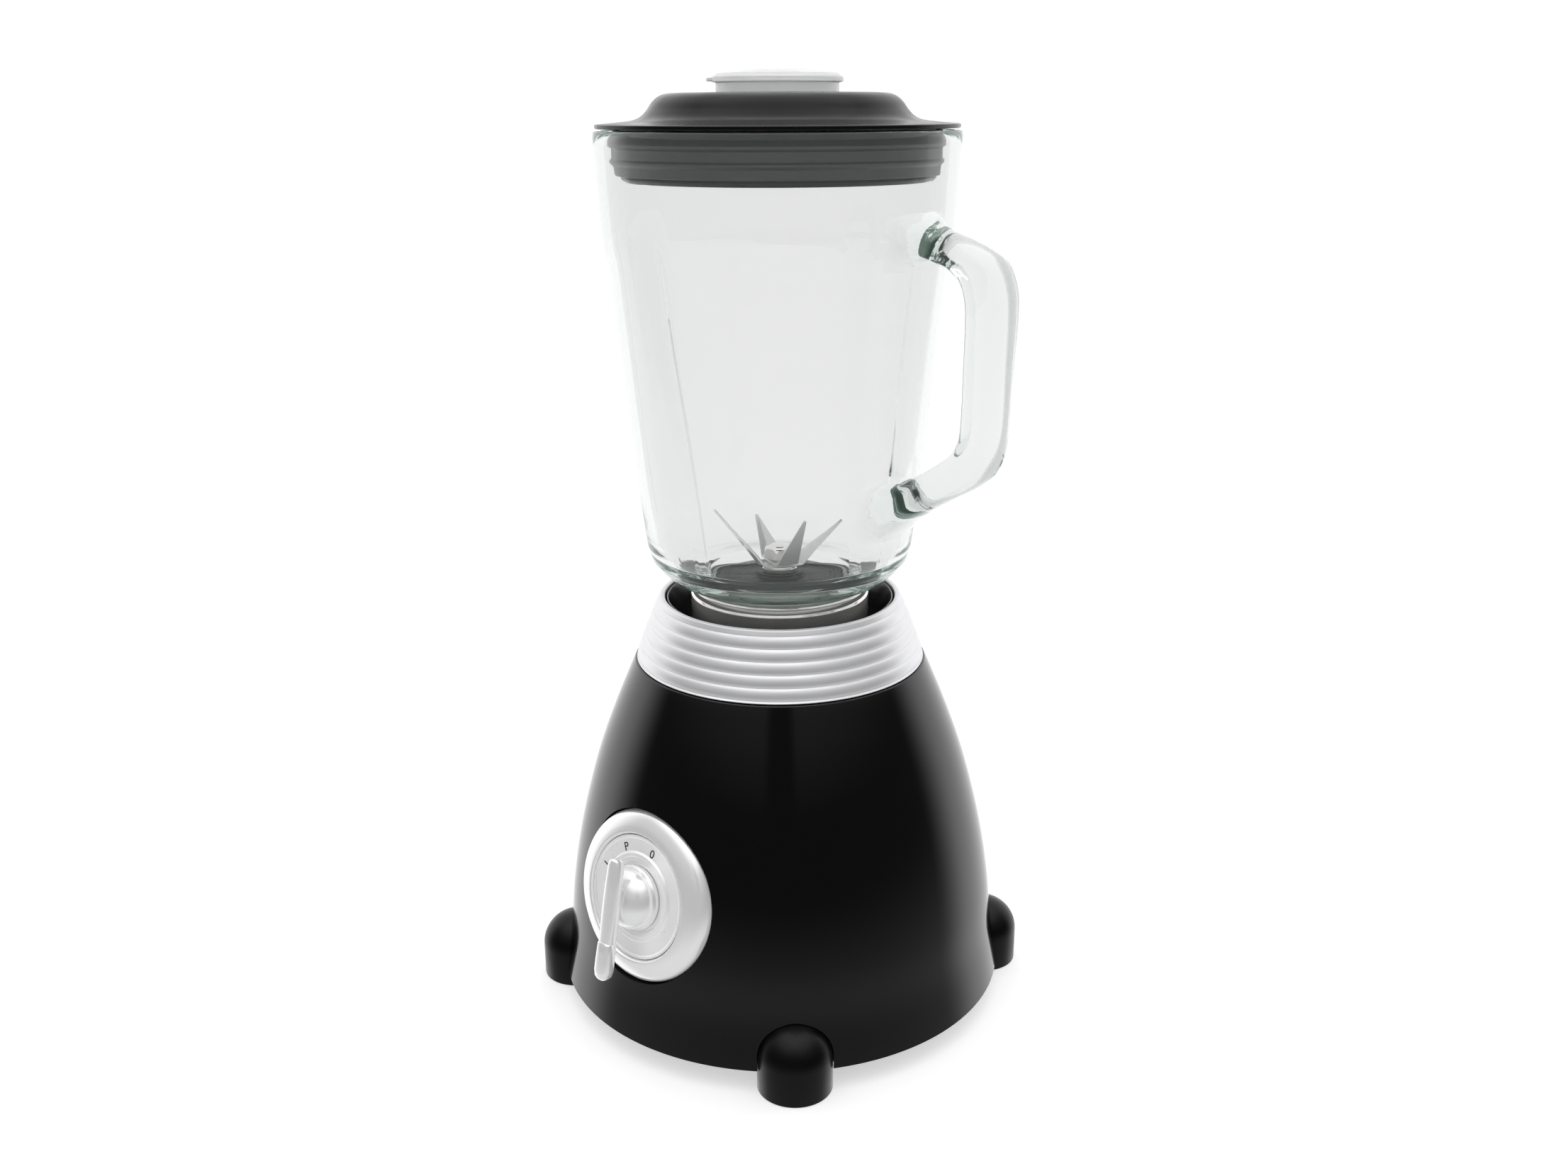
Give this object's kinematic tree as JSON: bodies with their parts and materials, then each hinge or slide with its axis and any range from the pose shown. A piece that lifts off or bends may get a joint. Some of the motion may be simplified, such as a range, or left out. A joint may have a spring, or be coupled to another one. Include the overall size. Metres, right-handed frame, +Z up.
{
  "type": "countertop blender",
  "caption": "Countertop blender: domed motor base with a ribbed chrome collar and dial switch, handled glass jug with cross blades, push-in lid and clear measuring cap.",
  "frame": {"origin": "centre of the footprint box on the counter, at the underside of the foot pads; the motor axis stands at x = -6.5 mm, y = 4 mm", "axes": "+Z up along the motor axis, +X towards the jug's handle, -Y towards the dial, so the cord gland is at +Y"},
  "size_m": [0.213, 0.2208, 0.3995],
  "materials": {
    "housing_black": "high gloss black",
    "seat_black": "gloss black",
    "collar_chrome": "satin bright, ribbed",
    "dial_chrome": "bright chrome",
    "jar_collar_chrome": "bright chrome",
    "foot_black": "satin black",
    "moulded_black": "matt black",
    "rubber_black": "matt black",
    "lid_black": "semi-gloss black",
    "seal_black": "satin black",
    "jug_glass": "clear, faint green in thick places",
    "cap_clear": "clear",
    "blade_steel": "polished stainless steel",
    "plain_steel": "plain steel",
    "copper": "enamelled copper wire",
    "cast_alloy": "as cast",
    "ivory_plastic": "moulded ivory",
    "carbon": "pressed carbon"
  },
  "bodies": {
    "base": {"motor_housing": "housing_black", "chrome_collar": "collar_chrome", "jar_seat": "seat_black", "bottom_cover": "moulded_black", "cord_gland": "moulded_black", "foot_back_right": "foot_black", "foot_back_left": "foot_black", "foot_front_left": "foot_black", "foot_front_right": "foot_black", "foot_pad_back_right": "rubber_black", "foot_pad_back_left": "rubber_black", "foot_pad_front_left": "rubber_black", "foot_pad_front_right": "rubber_black", "base_screw_back_right": "plain_steel", "base_screw_back_left": "plain_steel", "base_screw_front_left": "plain_steel", "base_screw_front_right": "plain_steel", "dial_bezel": "dial_chrome", "dial_plate": "dial_chrome", "rotary_switch": "moulded_black", "interlock_spring": "plain_steel", "micro_switch": "moulded_black", "stator_core": "plain_steel", "field_coil_right": "copper", "field_coil_left": "copper", "upper_bracket": "cast_alloy", "lower_bracket": "cast_alloy", "upper_bearing": "plain_steel", "lower_bearing": "plain_steel", "motor_mount_right": "rubber_black", "motor_mount_left": "rubber_black", "brush_holder_back": "ivory_plastic", "brush_holder_front": "ivory_plastic", "carbon_brush_back": "carbon", "carbon_brush_front": "carbon"},
    "rotor": {"motor_shaft": "plain_steel", "armature_core": "plain_steel", "armature_winding_upper": "copper", "armature_winding_lower": "copper", "commutator": "copper", "cooling_fan": "moulded_black", "drive_coupling": "plain_steel"},
    "jug": {"glass_jug": "jug_glass", "jar_collar": "jar_collar_chrome", "jug_gasket": "rubber_black", "blade_carrier": "lid_black", "blade_bush": "cast_alloy", "shaft_seal": "rubber_black"},
    "blades": {"blade_shaft": "blade_steel", "driven_coupling": "moulded_black", "blade_spacer": "blade_steel", "lower_blade": "blade_steel", "upper_blade": "blade_steel", "blade_nut": "blade_steel"},
    "lid": {"lid": "lid_black", "lid_seal": "seal_black"},
    "cap": {"measuring_cap": "cap_clear"},
    "knob": {"control_knob": "dial_chrome", "knob_spindle": "plain_steel"},
    "pin": {"interlock_pin": "moulded_black"}
  },
  "joints": [
    {"name": "motor_spin", "type": "hinge", "parent": "base", "child": "rotor", "pos_m": [-0.0065, 0.004, 0.1], "axis": [0, 0, 1], "continuous": true},
    {"name": "jug_lift", "type": "slide", "parent": "base", "child": "jug", "axis": [0, 0, 1], "range_m": [0, 0.06]},
    {"name": "blade_spin", "type": "hinge", "parent": "jug", "child": "blades", "pos_m": [-0.0065, 0.004, 0.19], "axis": [0, 0, 1], "continuous": true},
    {"name": "lid_lift", "type": "slide", "parent": "jug", "child": "lid", "axis": [0, 0, 1], "range_m": [0, 0.05]},
    {"name": "cap_lift", "type": "slide", "parent": "lid", "child": "cap", "axis": [0, 0, 1], "range_m": [0, 0.05]},
    {"name": "knob_turn", "type": "hinge", "parent": "base", "child": "knob", "pos_m": [-0.0065, -0.0876, 0.0726], "axis": [0, -0.9799, 0.1994], "range_deg": [-25, 80]},
    {"name": "interlock_press", "type": "slide", "parent": "base", "child": "pin", "axis": [0, 0, -1], "range_m": [0, 0.0038], "stiffness_N_per_m": 400, "springref_m": -0.0015, "deforming": ["interlock_spring"]}
  ],
  "couplings": [
    {"joint": "blade_spin", "follows": "motor_spin", "ratio": 1}
  ]
}
